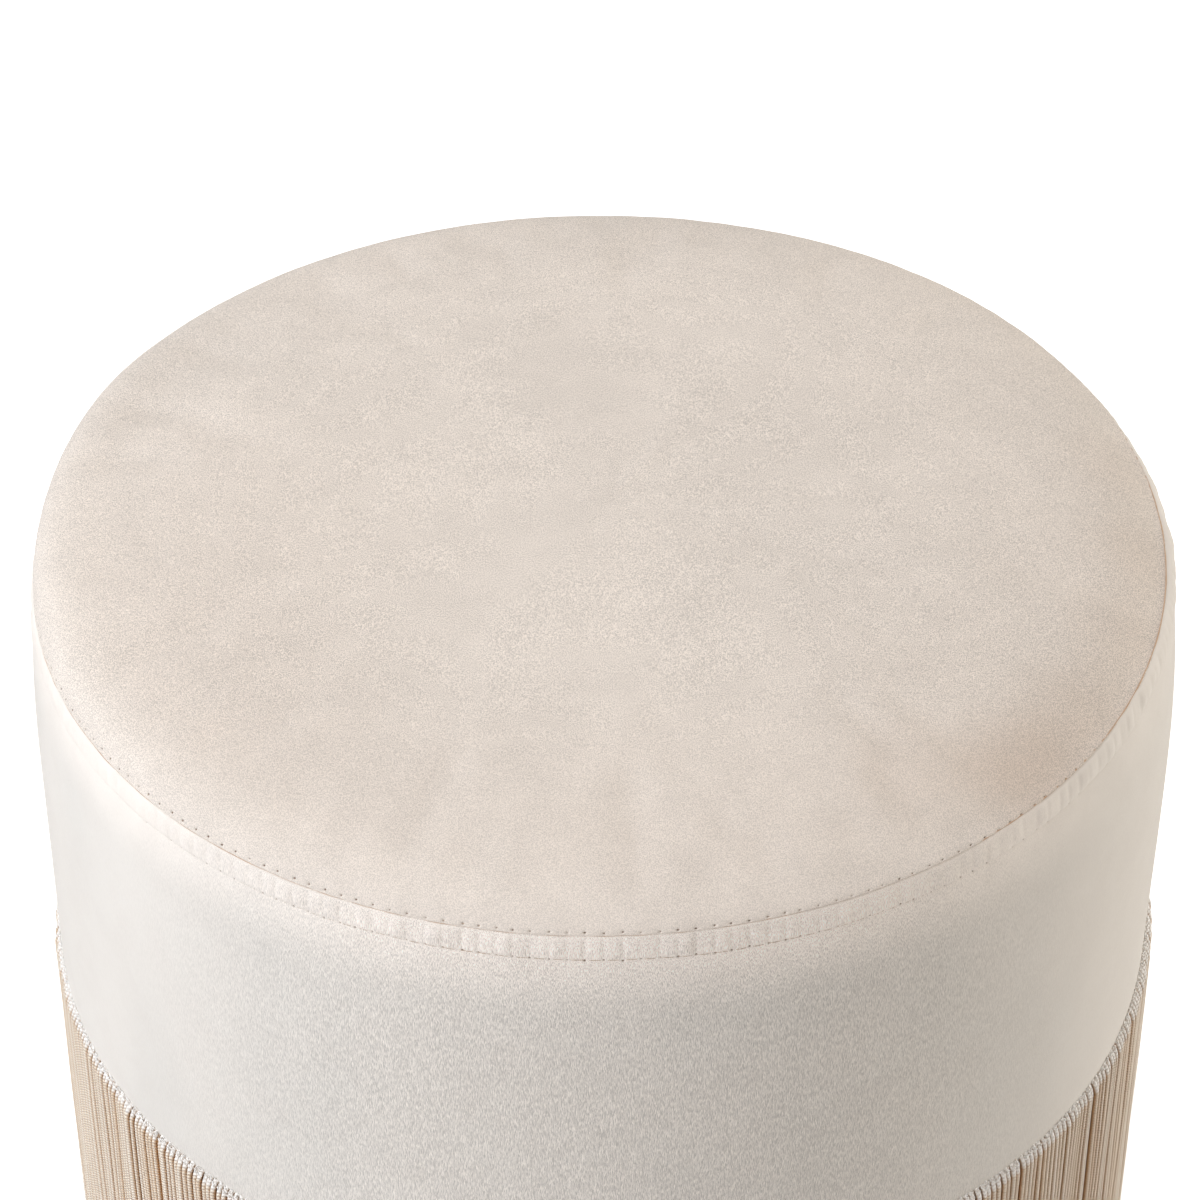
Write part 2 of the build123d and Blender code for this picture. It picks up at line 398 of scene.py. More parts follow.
cloth_places = np.linspace(0.0, seat_line.length - 0.008, 22)
cloth_swell = blow_up(cloth_places, stitch_count // 2)


def seat_body(along, angle):
    """The slow part of how far the seat stands off its outline, which its padding follows."""
    full = 0.0
    for height, middle, width in seat_fullness:
        full = full + height * hump(off_angle(angle, middle), 0, width)
    full = full * (1 - np.exp(-((along / 0.003) ** 2))) * hump(along, 0.008, 0.013)
    return rim_dent(along, angle) + full + between(cloth_swell, cloth_places, along, angle)


def seat_lift(along, angle, needles=True):
    """How far the seat's velvet stands off its outline."""
    lift = seat_body(along, angle) - seam_depth * hump(along, 0, seam_width)
    lift = lift + rim_ripple * np.exp(-along / 0.016) * rim_waves(angle, along / 0.02)
    lift = lift + fine_ripple * hump(along, 0.004, 0.004) * fine_waves(angle, along / 0.01)
    lift = lift - hole_tug * hump(along, 0.0016, 0.0018) * hump(to_hole(angle)[0], 0, 0.0009)
    if needles:
        lift = lift - needle_depth * needle_mark(along, angle, upper_row)
    return lift


def band_body(along, angle):
    """The slow part of how far the side band stands off its outline, which its padding follows."""
    free = 1 - np.exp(-((along / 0.02) ** 2))
    lift = rim_dent(along, angle) + band_shoulder(along, angle)
    lift = lift + band_wave * free * band_waves(angle, along / 0.06)
    return lift + band_bulge * hump(off_angle(angle, -5), 0, 40) * free * hump(along, 0.07, 0.06)


def band_lift(along, angle, needles=True):
    """How far the side band's velvet stands off its outline."""
    strip = np.clip((along - seam_width) / (lower_row - seam_width), 0, 1)
    puff = np.sin(math.pi * strip) ** 0.7
    lift = band_body(along, angle) - seam_depth * hump(along, 0, seam_width)
    lift = lift + strip_puff * puff * (1 + 0.5 * rim_waves(angle, along / 0.02))
    lift = lift + strip_ripple * puff * fine_waves(angle, along / 0.01)
    away, number = to_hole(angle)
    lift = lift - strip_pinch * puff * hump(away, 0, 0.0008) * hole_size[number]
    dip = row_dip * (row_least + (1 - row_least) * row_show(angle))
    lift = lift - dip * hump(along, lower_row, 0.0006)
    lift = lift + row_pull * hump(along, lower_row + 0.004, 0.005) * pull_waves(angle, along / 0.03)
    if needles:
        lift = lift - needle_depth * needle_mark(along, angle, lower_row) * row_show(angle)
    return lift


def add_piece(name, mesh, finish, nodes):
    """A smooth object that rides on the part and stands for these nodes of the drawing."""
    mesh.polygons.foreach_set("use_smooth", np.ones(len(mesh.polygons), bool))
    mesh.materials.append(finish)
    piece = bpy.data.objects.new(name, mesh)
    bpy.context.scene.collection.objects.link(piece)
    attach(piece, "root")
    for node in nodes:
        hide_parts(node)
    return piece


def make_piece(name, points, faces, finish, node):
    """A piece made of one skin, with its faces turned outward."""
    mesh = bpy.data.meshes.new(name)
    mesh.from_pydata([tuple(point) for point in points], [], [tuple(face) for face in faces])
    shape = bmesh.new()
    shape.from_mesh(mesh)
    bmesh.ops.recalc_face_normals(shape, faces=shape.faces)
    shape.to_mesh(mesh)
    shape.free()
    return add_piece(name, mesh, finish, [node])


def mark_points(piece, name, values):
    """Keep a number with each point of a piece for its finish to read."""
    layer = piece.data.attributes.new(name, "FLOAT", "POINT")
    layer.data.foreach_set("value", np.asarray(values, np.float32))


# Finishes


class Wire:
    """A node's output. Arithmetic on it becomes Math nodes in the same tree."""

    def __init__(self, finish, socket):
        self.finish = finish
        self.socket = socket

    def work(self, operation, *values):
        return self.finish.node("Math", {"operation": operation}, dict(enumerate(values)))

    def __add__(self, other):
        return self.work("ADD", self, other)

    def __sub__(self, other):
        return self.work("SUBTRACT", self, other)

    def __rsub__(self, other):
        return self.work("SUBTRACT", other, self)

    def __mul__(self, other):
        return self.work("MULTIPLY", self, other)

    def __pow__(self, other):
        return self.work("POWER", self, other)

    def __abs__(self):
        return self.work("ABSOLUTE", self)

    __radd__ = __add__
    __rmul__ = __mul__

    def sine(self):
        return self.work("SINE", self)

    def most(self, other):
        return self.work("MAXIMUM", self, other)


class Finish:
    """A material or a world, built node by node."""

    def __init__(self, owner):
        self.owner = owner
        owner.use_nodes = True
        self.tree = owner.node_tree
        self.tree.nodes.clear()

    def node(self, kind, settings=None, values=None, output=0):
        """Add a node, its settings first and then its sockets, and give one of its outputs."""
        made = self.tree.nodes.new("ShaderNode" + kind)
        for name, setting in (settings or {}).items():
            setattr(made, name, setting)
        for name, value in (values or {}).items():
            if isinstance(value, Wire):
                self.tree.links.new(value.socket, made.inputs[name])
            else:
                made.inputs[name].default_value = value
        return Wire(self, made.outputs[output]) if made.outputs else None

    def place(self, stretch=(1, 1, 1)):
        """The point on the object, in metres, with each axis stretched."""
        point = self.node("TexCoord", output="Object")
        return self.node("VectorMath", {"operation": "MULTIPLY"}, {0: point, 1: stretch})

    def noise(self, place, scale, detail=2.0, rough=0.5, twist=0.0):
        values = {"Vector": place, "Scale": scale, "Detail": detail}
        values.update({"Roughness": rough, "Distortion": twist})
        return self.node("TexNoise", values=values)

    def cells(self, place, scale):
        return self.node("TexVoronoi", values={"Vector": place, "Scale": scale})

    def attribute(self, name):
        return self.node("Attribute", {"attribute_name": name}, output="Fac")

    def strand(self):
        """Where a point lies on its strand: across it, and along it in steps of its pitch."""
        place = self.node("UVMap", {"uv_map": "strand"})
        return self.axis(place, "X"), self.axis(place, "Y")

    def spread(self, value, low, high):
        """0 at the low value and 1 at the high one, with a smooth run between."""
        settings = {"interpolation_type": "SMOOTHSTEP"}
        return self.node("MapRange", settings, {0: value, 1: low, 2: high})

    def mix(self, share, first, second, blend="MIX"):
        settings = {"data_type": "RGBA", "blend_type": blend}
        return self.node("Mix", settings, {0: share, 6: first, 7: second}, output=2)

    def axis(self, vector, name):
        return self.node("SeparateXYZ", values={0: vector}, output=name)

    def seen(self):
        """1 for rays from the camera, from gloss and through glass, and 0 for the light itself."""
        kinds = ("Is Camera Ray", "Is Glossy Ray", "Is Transmission Ray")
        camera, gloss, through = [self.node("LightPath", output=kind) for kind in kinds]
        return camera.most(gloss).most(through)

    def surface(self, colour, roughness, relief=None, depth=0.0002, strength=1.0, steady=None):
        """The shader: what varies is linked, and the steady values are set on its own sockets."""
        values = {"Base Color": colour, "Roughness": roughness, **(steady or {})}
        if relief is not None:
            bump = {"Strength": strength, "Distance": depth, "Height": relief}
            values["Normal"] = self.node("Bump", values=bump)
        shader = self.node("BsdfPrincipled", values=values)
        self.node("OutputMaterial", values={"Surface": shader})
        return self.owner


def new_finish(name):
    """An empty material of this name."""
    return Finish(bpy.data.materials.new(name))


def tint(red, green, blue):
    """A colour given in screen values from 0 to 255, as the shader takes it."""
    screen = [value / 255 for value in (red, green, blue)]
    linear = [((v + 0.055) / 1.055) ** 2.4 if v > 0.04045 else v / 12.92 for v in screen]
    return (*linear, 1.0)


# painted shade in the needle holes, with the brown of the thread down in them
needle_hole_shade_tint = tint(118, 90, 70)
pile_tint = tint(255, 252, 248)  # of the velvet's sheen
side_shade_tint = tint(206, 156, 96)  # painted shade on the cords' sides
rib_shade_tint = tint(156, 106, 62)  # painted shade between the ribs of the knitting
top_highlight_tint = tint(254, 252, 249)  # painted highlight on the yarn at the cords' tops


def seat_nap_and_shade(finish, place):
    """The seat's deeper tone: painted shade along the front and at the left, stroked pile and
    right-rim shade.
    """
    east = finish.axis(place, "X")
    north = finish.axis(place, "Y")
    reach = (east * east + north * north) ** 0.5
    inner = finish.spread(reach, 0.075, 0.150)
    outer = 1 - finish.spread(reach, 0.160, 0.182)
    # painted shade: deeper along the front and at the left, where the seat's edge turns down
    front = finish.spread(east * 0.35 - north, -0.08, 0.10)
    left = finish.spread(east, -0.03, -0.13) * finish.spread(north, 0.09, -0.03)
    nap_and_shade = (inner * front * 0.13 + left * 0.17) * outer
    # stroked pile near the front right, and painted shade along the right rim
    for stroke_x, stroke_y, share in seat_strokes_and_shade:
        away = ((east - stroke_x) ** 2 + (north - stroke_y) ** 2) ** 0.5
        nap_and_shade = nap_and_shade + (1 - finish.spread(away, 0.003, 0.032)) * share
    return nap_and_shade


def band_nap_and_shade(finish, place):
    """The band's deeper tone: soft patches of pile, paler near the stitches, partly painted shade
    below and at the sides.
    """
    patches = finish.spread(finish.noise(finish.place((1, 1, 0.5)), 14.0), 0.42, 0.7)
    # paler near the stitches, where the pile stands up; deeper lower down, which is partly painted
    # shade
    above = finish.spread(finish.axis(place, "Z"), seam_z - 0.032, seam_z - 0.005)
    east = finish.axis(place, "X")
    # painted shade: the two sides stay deeper right up to the seam
    sides = finish.spread(east, 0.10, 0.17) * 0.75 + finish.spread(east, -0.04, -0.12) * 0.3
    below = 1 - above * (1 - sides)
    return below * (patches * 0.2 + 0.8)


def seat_grain(finish, place):
    """How strong the seat's grain is: less along the front."""
    return 1 - finish.spread(finish.axis(place, "Y"), -0.06, -0.15) * 0.35


def band_grain(finish, place):
    """How strong the band's grain is: more at the front and back than at the sides."""
    return finish.spread(abs(finish.axis(place, "Y")), 0.11, 0.185) * 1.2 + 0.1


def velvet_finish(name, pale, deep, nap_and_shade, show, stretch, scale, contrast, relief):
    """Short brushed pile: deeper with the nap and painted shade, a grain, painted shade in needle
    holes, a sheen.
    """
    finish = new_finish(name)
    place = finish.place()
    broad = finish.noise(place, 11.0, 2.0, 0.5, 0.5)
    patches = finish.noise(place, 70.0, 3.0, 0.6, 0.4)
    grain = finish.noise(finish.place(stretch), scale, 2.0, 0.7)
    ruffle = finish.spread(broad * 0.5 + patches * 0.5, 0.34, 0.66)
    shade = finish.mix(nap_and_shade(finish, place) * (ruffle * 0.2 + 0.85), pale, deep)
    fleck = (finish.spread(grain, 0.38, 0.62) - 0.5) * show(finish, place) + 0.5
    levels = [(1 + change, 1 + change, 1 + change, 1) for change in (-contrast, contrast)]
    low, high = [finish.mix(1.0, shade, level, "MULTIPLY") for level in levels]
    shade = finish.mix(fleck * 0.85 + ruffle * 0.15, low, high)
    # painted shade in the needle holes, with the brown of the thread in them
    hole = finish.spread(finish.attribute("needle"), 0.15, 0.7)
    shade = finish.mix(hole, shade, needle_hole_shade_tint)
    steady = {
        "Specular IOR Level": 0.12,
        "Sheen Weight": 0.35,
        "Sheen Roughness": 0.35,
        "Sheen Tint": pile_tint,
    }
    return finish.surface(shade, 0.92 - fleck * 0.06, fleck + patches * 0.2, 0.0003, relief, steady)


def cord_finish(name, pale, deep, shine, gloss, shade_strength, relief):
    """Knitted cord: rows of small ribs across it, a slight difference from cord to cord, painted shade
    and highlight.
    """
    finish = new_finish(name)
    across, along = finish.strand()
    slant = (across * (2 * full_turn)).sine() * 0.5
    rib = abs((along * (full_turn / 2) + slant).sine())
    fuzz = finish.noise(finish.place(), 1500.0, 2.0, 0.6)
    shade = finish.mix(finish.attribute("cord"), deep, pale)
    # painted shade: the cords' sides, away from their outward face, go orange brown
    side_shade = 1 - (across * full_turn).sine().most(0.0)
    shade = finish.mix(side_shade * shade_strength, shade, side_shade_tint)
    # painted shade between the ribs
    shade = finish.mix((1 - rib) * shade_strength * 0.65, shade, rib_shade_tint)
    # painted highlight: the cords' tops near the hem go near white, less on their shaded sides
    top = finish.spread(finish.axis(finish.place(), "Z"), hem_z - 0.0029, hem_z - 0.0008)
    top_highlight = top * (rib * 0.3 + 0.65) * (1 - side_shade * side_shade * 0.8)
    shade = finish.mix(top_highlight, shade, top_highlight_tint)
    steady = {"Specular IOR Level": gloss, "Sheen Weight": gloss * 0.6, "Sheen Roughness": 0.4}
    return finish.surface(shade, shine + fuzz * 0.15, rib + fuzz * 0.3, 0.0004, relief, steady)


def weave_finish(name, pale, deep, pitch):
    """Plain woven cloth, with threads round the drum and up it."""
    finish = new_finish(name)
    place = finish.place()
    north = finish.axis(place, "Y")
    turn = north.work("ARCTAN2", north, finish.axis(place, "X"))
    warp = (turn * (full_turn * cover_radius / pitch)).sine()
    weft = (finish.axis(place, "Z") * (full_turn / pitch)).sine()
    weave = warp * weft * 0.5 + 0.5
    slub = finish.noise(finish.place((1, 1, 0.2)), 220.0, 3.0, 0.6)
    shade = finish.mix(weave * 0.5 + slub * 0.5, deep, pale)
    return finish.surface(shade, 0.92, weave, 0.0002, 0.5, {"Specular IOR Level": 0.15})


def flat_cloth_finish(name, pale, deep):
    """Pressed fibre cloth with a small dotted bond."""
    finish = new_finish(name)
    place = finish.place()
    fibre = finish.noise(place, 420.0, 5.0, 0.7, 1.5)
    dots = finish.spread(finish.cells(place, 700.0), 0.15, 0.4)
    shade = finish.mix(fibre, deep, pale)
    steady = {"Specular IOR Level": 0.2}
    return finish.surface(shade, 0.8 + fibre * 0.15, dots + fibre, 0.0001, 0.5, steady)


def foam_finish(name, pale, deep, scale):
    """Open foam or fibre filling."""
    finish = new_finish(name)
    place = finish.place()
    cell = finish.cells(place, scale)
    cloud = finish.noise(place, 30.0, 3.0)
    shade = finish.mix(cell * 0.7 + cloud * 0.4, pale, deep)
    return finish.surface(shade, 0.95, cell, 0.0006, 0.6, {"Specular IOR Level": 0.1})


def board_finish(name, pale, deep, scale, stretch=(1, 1, 1)):
    """Pressed wood board or plain timber: flecks or grain, drawn out along one axis."""
    finish = new_finish(name)
    place = finish.place(stretch)
    grain = finish.noise(place, scale, 6.0, 0.65, 1.2)
    fleck = finish.noise(place, scale * 5, 3.0, 0.6)
    share = finish.spread(grain * 0.65 + fleck * 0.35, 0.35, 0.65)
    shade = finish.mix(share, deep, pale)
    return finish.surface(shade, 0.55 + grain * 0.25, fleck + grain, 0.0002, 0.4)


def plastic_finish(name, pale, deep):
    """Moulded plastic with a fine spark texture."""
    finish = new_finish(name)
    place = finish.place()
    spark = finish.noise(place, 900.0, 3.0, 0.6)
    wear = finish.noise(place, 60.0, 4.0, 0.6)
    shade = finish.mix(finish.spread(wear, 0.45, 0.75), deep, pale)
    return finish.surface(shade, 0.42 + spark * 0.2, spark, 0.00008, 0.4)


def zinc_finish(name, pale, deep):
    """Bright zinc on steel, slightly cloudy."""
    finish = new_finish(name)
    cloud = finish.noise(finish.place(), 300.0, 3.0, 0.6)
    shade = finish.mix(cloud, deep, pale)
    return finish.surface(shade, 0.28 + cloud * 0.2, cloud, 0.00003, 0.3, {"Metallic": 1.0})


def thread_finish(name, pale, deep):
    """Twisted sewing thread."""
    finish = new_finish(name)
    across, along = finish.strand()
    twist = ((along * 3 + across * 2) * full_turn).sine() * 0.5 + 0.5
    shade = finish.mix(twist, deep, pale)
    return finish.surface(shade, 0.5 + twist * 0.1, twist, 0.00006, 0.6, {"Sheen Weight": 0.2})


seat_velvet = velvet_finish(
    "seat_velvet",
    pale=tint(227, 218, 209),
    deep=tint(206, 191, 178),
    nap_and_shade=seat_nap_and_shade,
    show=seat_grain,
    stretch=(1, 0.6, 1),
    scale=3400.0,
    contrast=0.28,
    relief=0.3,
)
band_velvet = velvet_finish(
    "band_velvet",
    pale=tint(250, 242, 234),
    deep=tint(221, 217, 211),
    nap_and_shade=band_nap_and_shade,
    show=band_grain,
    stretch=(1, 1, 0.07),
    scale=7500.0,
    contrast=0.27,
    relief=0.32,
)
knitted_cord = cord_finish(
    "knitted_cord",
    pale=tint(250, 243, 228),
    deep=tint(238, 220, 194),
    shine=0.33,
    gloss=0.5,
    shade_strength=0.95,
    relief=0.9,
)
# the same yarn as the outer cords, painted lighter and more orange to stand in for light bounced
# between the cords
inner_cord_bounce = cord_finish(
    "inner_cord_bounce",
    pale=tint(255, 226, 186),
    deep=tint(246, 206, 158),
    shine=0.5,
    gloss=0.2,
    shade_strength=0.3,
    relief=0.9,
)
# near white: the pale yarn with a painted highlight where the loops face up
heading_cord_highlight = cord_finish(
    "heading_cord_highlight",
    pale=tint(255, 254, 252),
    deep=tint(222, 190, 154),
    shine=0.2,
    gloss=1.0,
    shade_strength=0.0,
    relief=0.05,
)
sewing_thread = thread_finish("sewing_thread", tint(205, 186, 166), tint(174, 148, 124))
# brown of the seam's thread, which also stands in as a painted shadow line along the seam
seam_thread_and_shadow = thread_finish("seam_thread_and_shadow", tint(208, 176, 146), tint(172, 134, 102))
lining_cloth = weave_finish("lining_cloth", tint(196, 170, 138), tint(160, 132, 100), 0.0009)
tape_cloth = weave_finish("tape_cloth", tint(232, 222, 206), tint(206, 192, 172), 0.0008)
dust_cloth = flat_cloth_finish("dust_cloth", tint(52, 51, 50), tint(30, 30, 30))
seat_foam_finish = foam_finish("seat_foam_cells", tint(240, 230, 200), tint(214, 200, 160), 700.0)
wall_foam_finish = foam_finish("wall_foam_cells", tint(236, 228, 204), tint(208, 196, 164), 900.0)
wadding_finish = foam_finish("wadding_fibre", tint(244, 244, 242), tint(222, 222, 220), 260.0)
felt_finish = flat_cloth_finish("wrap_felt", tint(176, 172, 164), tint(140, 136, 130))
fibreboard = board_finish("fibreboard", tint(186, 150, 108), tint(150, 114, 76), 160.0)
hardboard = board_finish("hardboard", tint(134, 96, 62), tint(108, 74, 46), 240.0)
softwood = board_finish("softwood", tint(222, 190, 142), tint(190, 150, 100), 60.0, (1, 1, 0.06))
foot_plastic = plastic_finish("foot_plastic", tint(52, 50, 48), tint(32, 31, 30))
zinc_steel = zinc_finish("zinc_steel", tint(206, 208, 212), tint(170, 172, 178))


# Covers


def cover_rings(line, lift, row, show, stretches):
    """Rings of points over a cover's face, and how deep in a needle hole each point is.

    A stretch has its first and last place along the cover, its steps and the points in its rings.
    """
    rings = []
    marks = []
    for first, last, steps, count in stretches:
        angle = around(count)
        for along in np.linspace(first, last, steps, endpoint=False):
            rings.append(line.place(along, angle, lift(along, angle)))
            marks.append(needle_mark(along, angle, row) * show(angle))
    return rings, marks


def make_cover(name, rings, marks, finish, node):
    """A velvet cover: one closed skin, with its needle holes marked for its finish."""
    points, faces = skin(rings)
    cover = make_piece(name, points, faces, finish, node)
    marked = np.concatenate(marks)
    mark_points(cover, "needle", np.pad(marked, (0, len(points) - len(marked))))
    return cover


def make_seat():
    """The velvet disc of the seat, from the seam up to the crown and back under its face."""
    stretches = [
        (0.0, 0.0027, 11, stitch_count * 16),
        (0.0027, 0.0050, 5, stitch_count * 8),
        (0.0050, 0.0120, 9, stitch_count * 4),
        (0.0120, 0.0400, 16, stitch_count * 2),
        (0.0400, 0.1100, 22, stitch_count),
        (0.1100, 0.1600, 12, stitch_count // 2),
        (0.1600, seat_line.length - 0.004, 6, stitch_count // 4),
    ]
    rings, marks = cover_rings(seat_line, seat_lift, upper_row, np.ones_like, stretches)
    rings.append([(0.0, 0.0, crown_z)])
    rings.append([(0.0, 0.0, crown_z - velvet)])
    for along in (0.175, 0.12, 0.06, 0.03, 0.016, 0.011, 0.007, 0.003, 0.0):
        angle = around(stitch_count // 4 if along > 0.1 else stitch_count)
        rings.append(seat_line.place(along, angle, seat_body(along, angle) - velvet))
    return make_cover("seat_cover", rings, marks, seat_velvet, "top_panel")


def make_band():
    """The velvet band, from the seam down to the rolled hem and back inside."""
    end = band_line.length
    stretches = [
        (0.0, 0.0078, 14, stitch_count * 8),
        (0.0078, 0.0094, 7, stitch_count * 16),
        (0.0094, 0.0150, 7, stitch_count * 4),
        (0.0150, 0.0400, 10, stitch_count * 2),
        (0.0400, end - 0.006, 30, stitch_count * 2),
        (end - 0.006, end, 10, stitch_count * 2),
    ]
    rings, marks = cover_rings(band_line, band_lift, lower_row, row_show, stretches)
    angle = around(stitch_count)
    for along in (end - 0.004, 0.10, 0.05, 0.02, 0.012, 0.006, 0.002, 0.0):
        rings.append(band_line.place(along, angle, band_body(along, angle) - velvet))
    return make_cover("side_cover", rings, marks, band_velvet, "side_band")


# Strands: stitches, cords and the loops of the heading


def strands(paths, sides, widths, depths, joined=False):
    """Points, faces and strand coordinates of many round strands that follow rows of points.

    paths has a row of points for each strand. A strand's width lies round the pouf.
    """
    number, steps, _ = paths.shape
    if joined:
        way = np.roll(paths, -1, axis=1) - np.roll(paths, 1, axis=1)
    else:
        way = np.gradient(paths, axis=1)
    way /= np.linalg.norm(way, axis=2, keepdims=True)
    if joined:
        side = np.zeros_like(paths)
        side[..., 2] = 1.0
    else:
        angle = np.arctan2(paths[..., 1], paths[..., 0])
        side = np.stack([-np.sin(angle), np.cos(angle), np.zeros_like(angle)], axis=-1)
    side -= way * np.sum(way * side, axis=2, keepdims=True)
    side /= np.linalg.norm(side, axis=2, keepdims=True)
    front = np.cross(way, side)
    turn = around(sides)
    offset = side[:, :, None] * (widths[..., None] * np.cos(turn))[..., None]
    offset = offset + front[:, :, None] * (depths[..., None] * np.sin(turn))[..., None]
    points = (paths[:, :, None] + offset).reshape(-1, 3)

    rows = steps if joined else steps - 1
    step = np.arange(rows)
    edge = np.arange(sides)
    start = np.arange(number)[:, None, None] * steps * sides
    here = start + step[None, :, None] * sides
    there = start + ((step + 1) % steps)[None, :, None] * sides
    after = (edge + 1) % sides
    corners = [here + edge, here + after, there + after, there + edge]
    faces = np.stack(corners, axis=-1).reshape(-1, 4)
    gaps = np.linalg.norm(np.diff(paths, axis=1), axis=2)
    run = np.concatenate([np.zeros((number, 1)), np.cumsum(gaps, axis=1)], axis=1)
    if joined:
        closing = np.linalg.norm(paths[:, 0] - paths[:, -1], axis=1)
        run = np.concatenate([run, run[:, -1:] + closing[:, None]], axis=1)
    low = np.broadcast_to(run[:, :rows, None], (number, rows, sides))
    high = np.broadcast_to(run[:, 1 : rows + 1, None], (number, rows, sides))
    left = np.broadcast_to(edge / sides, (number, rows, sides))
    right = np.broadcast_to((edge + 1) / sides, (number, rows, sides))
    across = np.stack([left, right, right, left], axis=-1).reshape(-1)
    along = np.stack([low, low, high, high], axis=-1).reshape(-1)
    all_faces = [tuple(face) for face in faces.tolist()]
    if not joined:
        for first in (np.arange(number) * steps * sides).tolist():
            last = first + (steps - 1) * sides
            all_faces.append(tuple(range(first, first + sides)))
            all_faces.append(tuple(range(last, last + sides)))
    return points, all_faces, np.column_stack([across, along])


def make_strands(
    name, paths, sides, widths, depths, finish, pitch, nodes=(), joined=False, shades=None
):
    """A piece of many strands, with coordinates along and round each one for its finish."""
    points, faces, coordinates = strands(paths, sides, widths, depths, joined)
    mesh = bpy.data.meshes.new(name)
    mesh.from_pydata(points.tolist(), [], faces)
    layer = mesh.uv_layers.new(name="strand")
    values = np.zeros((len(mesh.loops), 2), np.float32)
    values[: len(coordinates), 0] = coordinates[:, 0]
    values[: len(coordinates), 1] = coordinates[:, 1] / pitch
    layer.data.foreach_set("uv", values.ravel())
    piece = add_piece(name, mesh, finish, nodes)
    if shades is not None:
        mark_points(piece, "cord", np.repeat(shades, paths.shape[1] * sides))
    return piece


def make_stitches(name, line, lift, row, sunk, covered):
    """One row of stitches, sunk in the pile, each going down into a needle hole at both ends."""
    step = np.linspace(0.0, 1.0, 9)
    angle = (np.arange(stitch_count)[:, None] + step) * stitch_pitch
    rise = -stitch_dive + stitch_rise * np.sin(math.pi * step) ** 0.4
    height = lift(row, angle, needles=False) + rise - sunk - covered * (1 - row_show(angle))
    paths = line.place(row, angle, height)
    size = np.full(paths.shape[:2], thread_radius)
    return make_strands(name, paths, 6, size, size, sewing_thread, thread_twist)


def make_seam():
    """The line of thread at the bottom of the seam, partly real thread and partly a painted shadow
    line.
    """
    angle = around(720)
    start = np.zeros_like(angle)
    depth = -seam_thread_depth + 0.00004 * fine_waves(angle, start)
    paths = seat_line.place(start, angle, rim_dent(start, angle) + depth)[None]
    size = seam_thread_radius * (1 + 0.3 * fine_waves(angle, np.ones_like(angle)))[None]
    return make_strands(
        "seam_thread_and_shadow", paths, 8, size, size, seam_thread_and_shadow, thread_twist, joined=True
    )


def cord_angles(seed, first_angle):
    """Where the cords of one layer start round the hem."""
    stray = np.random.default_rng(seed).normal(0, cord_stray * cord_pitch, cord_count)
    return around(cord_count) + first_angle + stray


def cord_start(angle, inset):
    """Radius and height at which a cord comes out from the band's lower edge."""
    edge = band_line.length - 0.003
    radius = cover_radius + band_lift(edge, angle) - inset
    return radius, hem_z + cord_top + hem_tilt * cover_radius * np.cos(angle)


def make_cords(name, seed, radius, first_angle, inset, finish, nodes=()):
    """One layer of the fringe: cords that come out under the band's edge, bend over and hang."""
    chance = np.random.default_rng(seed + 3)
    base = cord_angles(seed, first_angle)
    bunch = swell(seed + 1, 110, 210)
    lean = swell(seed + 2, 9, 40)
    start, top_z = cord_start(base, inset)
    bend = np.linspace(0, math.pi / 2, 9)
    below = shoulder_drop * (1 - np.cos(bend))
    length = top_z - fringe_end_z - chance.uniform(0, cord_cut, cord_count)
    share = np.concatenate([np.zeros(len(bend)), np.linspace(0.02, 1, straight_steps)])
    below = np.concatenate([below, np.full(straight_steps, shoulder_drop)])
    below = below + share * (length - shoulder_drop)[:, None]
    below[:, -2] = below[:, -1] - 0.0012
    out = np.concatenate([np.sin(bend), np.ones(straight_steps)])
    hanging = radius + chance.normal(0, 0.0002, cord_count)
    reach = start[:, None] + (hanging - start)[:, None] * out
    settle = 1 - np.exp(-below / settle_drop)
    still = np.zeros(cord_count)
    down = below / length[:, None]
    shift = bunch(base, still)[:, None] * cord_bunch * cord_pitch * settle
    shift = shift + lean(base, still)[:, None] * cord_lean * cord_pitch * down
    drift = chance.normal(0, cord_drift * cord_pitch, cord_count)
    angle = base[:, None] + (shift + drift[:, None] * down**1.5)
    reach = reach + cord_wave * np.sin(below / 0.021 + base[:, None] * 37) * settle
    height = top_z[:, None] - below
    paths = np.stack([reach * np.cos(angle), reach * np.sin(angle), height], axis=-1)
    size = cord_radius * chance.uniform(0.9, 1.08, cord_count)[:, None] * np.ones(len(out))
    size[:, -1] *= 0.7
    shades = chance.beta(2.2, 2.0, cord_count)
    return make_strands(
        name, paths, 8, size, size * 0.95, finish, rib_pitch, nodes, shades=shades
    )


